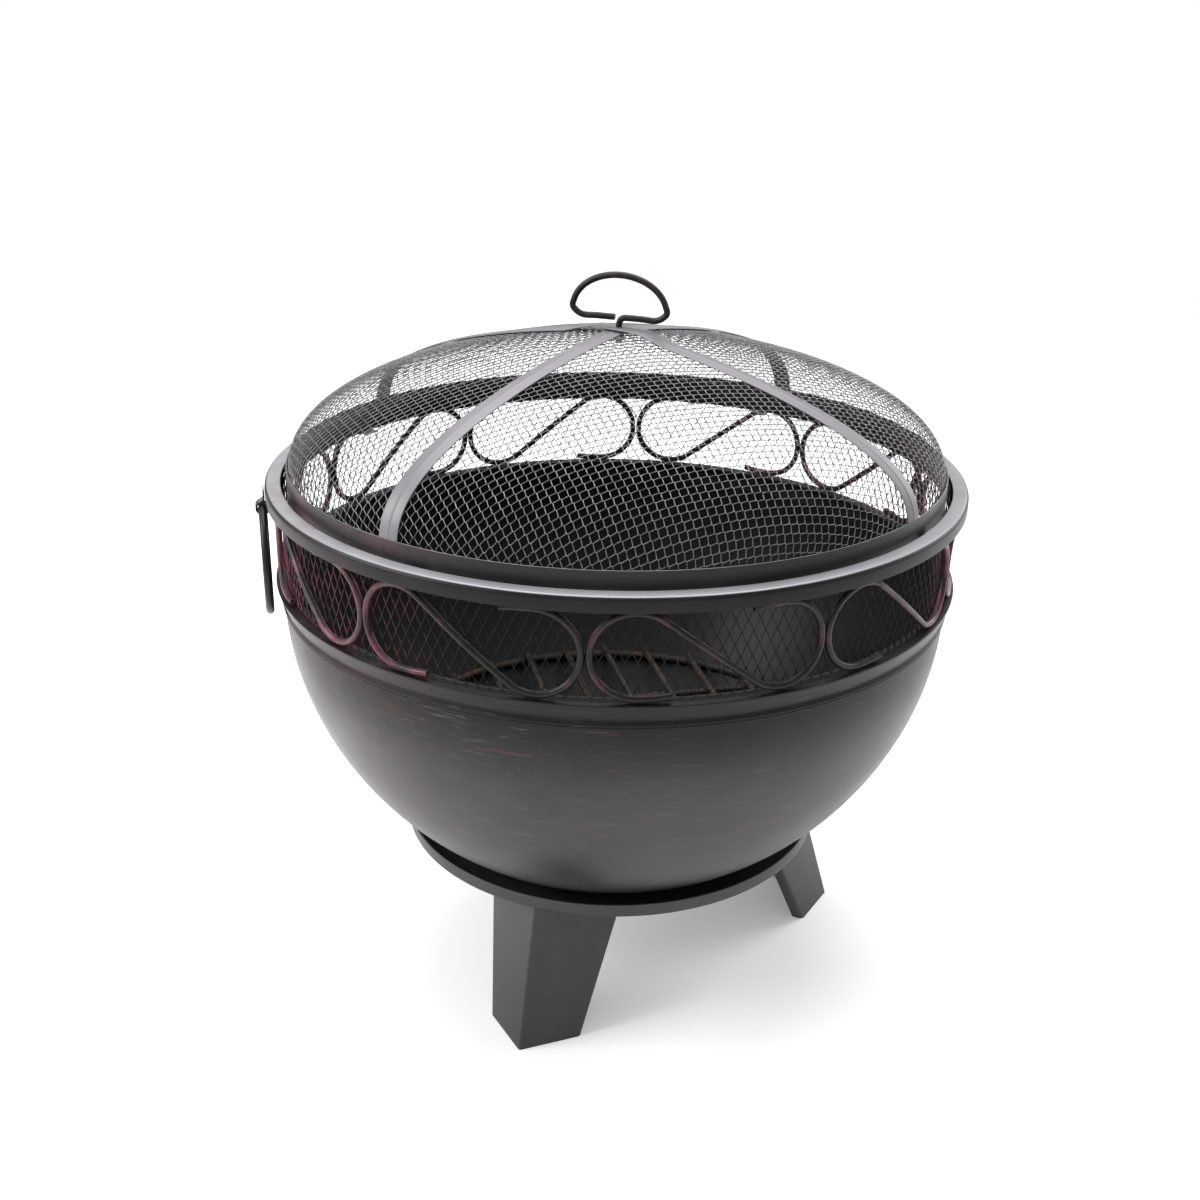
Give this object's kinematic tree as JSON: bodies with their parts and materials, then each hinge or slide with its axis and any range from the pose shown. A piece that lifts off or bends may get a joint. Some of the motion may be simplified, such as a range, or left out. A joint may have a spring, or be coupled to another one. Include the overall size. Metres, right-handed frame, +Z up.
{
  "type": "fire pit with grate",
  "caption": "Deep round steel fire bowl on a legged hoop, with a scrolled mesh gallery, lift-off domed spark screen, swinging ring handles and a lift-out log grate.",
  "frame": {"origin": "on the bowl's axis at floor level, under the middle of the object", "axes": "+Z up along the bowl's axis; the two ring handles lie on the X axis, so Y is the shortest way across"},
  "size_m": [0.6816, 0.663, 0.6926],
  "materials": {
    "bowl_steel": "satin charcoal-bronze heat paint with fine reddish brushing",
    "rim_steel": "satin dark bronze-grey paint, rubbed burgundy at the joints",
    "band_mesh": "satin black expanded steel",
    "screen_mesh": "satin dark grey steel wire",
    "scroll_steel": "satin black rod rubbed with burgundy",
    "handle_steel": "satin dark grey rod",
    "stand_steel": "satin black powder coat",
    "grate_steel": "dull black heat paint, ash dusted",
    "plated_steel": "zinc plate, dull"
  },
  "bodies": {
    "fire_pit": {"bowl": "bowl_steel", "mesh_band": "band_mesh", "scroll_01": "scroll_steel", "scroll_02": "scroll_steel", "scroll_03": "scroll_steel", "scroll_04": "scroll_steel", "scroll_05": "scroll_steel", "scroll_06": "scroll_steel", "scroll_07": "scroll_steel", "scroll_08": "scroll_steel", "scroll_09": "scroll_steel", "scroll_10": "scroll_steel", "base_hoop": "stand_steel", "leg_1": "stand_steel", "leg_2": "stand_steel", "leg_3": "stand_steel", "bowl_tab_1": "stand_steel", "bowl_tab_2": "stand_steel", "bowl_tab_3": "stand_steel", "top_rim": "rim_steel", "handle_eye_left": "rim_steel", "handle_eye_right": "rim_steel", "lid_rest_1": "rim_steel", "lid_rest_2": "rim_steel", "lid_rest_3": "rim_steel", "lid_rest_4": "rim_steel", "bowl_bolt_1": "plated_steel", "bowl_bolt_2": "plated_steel", "bowl_bolt_3": "plated_steel", "bowl_nut_1": "plated_steel", "bowl_nut_2": "plated_steel", "bowl_nut_3": "plated_steel"},
    "spark_screen": {"lid_band": "rim_steel", "lid_mesh": "screen_mesh", "lid_strap_lower": "rim_steel", "lid_strap_upper": "rim_steel", "lid_handle": "handle_steel", "lid_handle_nut": "plated_steel"},
    "log_grate": {"grate_ring": "grate_steel", "grate_bar_1": "grate_steel", "grate_bar_2": "grate_steel", "grate_bar_3": "grate_steel", "grate_bar_4": "grate_steel", "grate_bar_5": "grate_steel", "grate_bar_6": "grate_steel", "grate_bar_7": "grate_steel", "grate_bar_8": "grate_steel", "grate_bar_9": "grate_steel", "grate_cross_bar_1": "grate_steel", "grate_cross_bar_2": "grate_steel"},
    "ring_handle_left": {"side_handle_left": "handle_steel"},
    "ring_handle_right": {"side_handle_right": "handle_steel"}
  },
  "joints": [
    {"name": "screen_lift", "type": "slide", "parent": "fire_pit", "child": "spark_screen", "axis": [0, 0, 1], "range_m": [0, 0.3]},
    {"name": "grate_lift", "type": "slide", "parent": "fire_pit", "child": "log_grate", "axis": [0, 0, 1], "range_m": [0, 0.28]},
    {"name": "ring_handle_left_swing", "type": "hinge", "parent": "fire_pit", "child": "ring_handle_left", "pos_m": [-0.3342, 0, 0.4874], "axis": [0, 1, 0], "range_deg": [0, 110]},
    {"name": "ring_handle_right_swing", "type": "hinge", "parent": "fire_pit", "child": "ring_handle_right", "pos_m": [0.3342, 0, 0.4874], "axis": [0, -1, 0], "range_deg": [0, 110]}
  ]
}
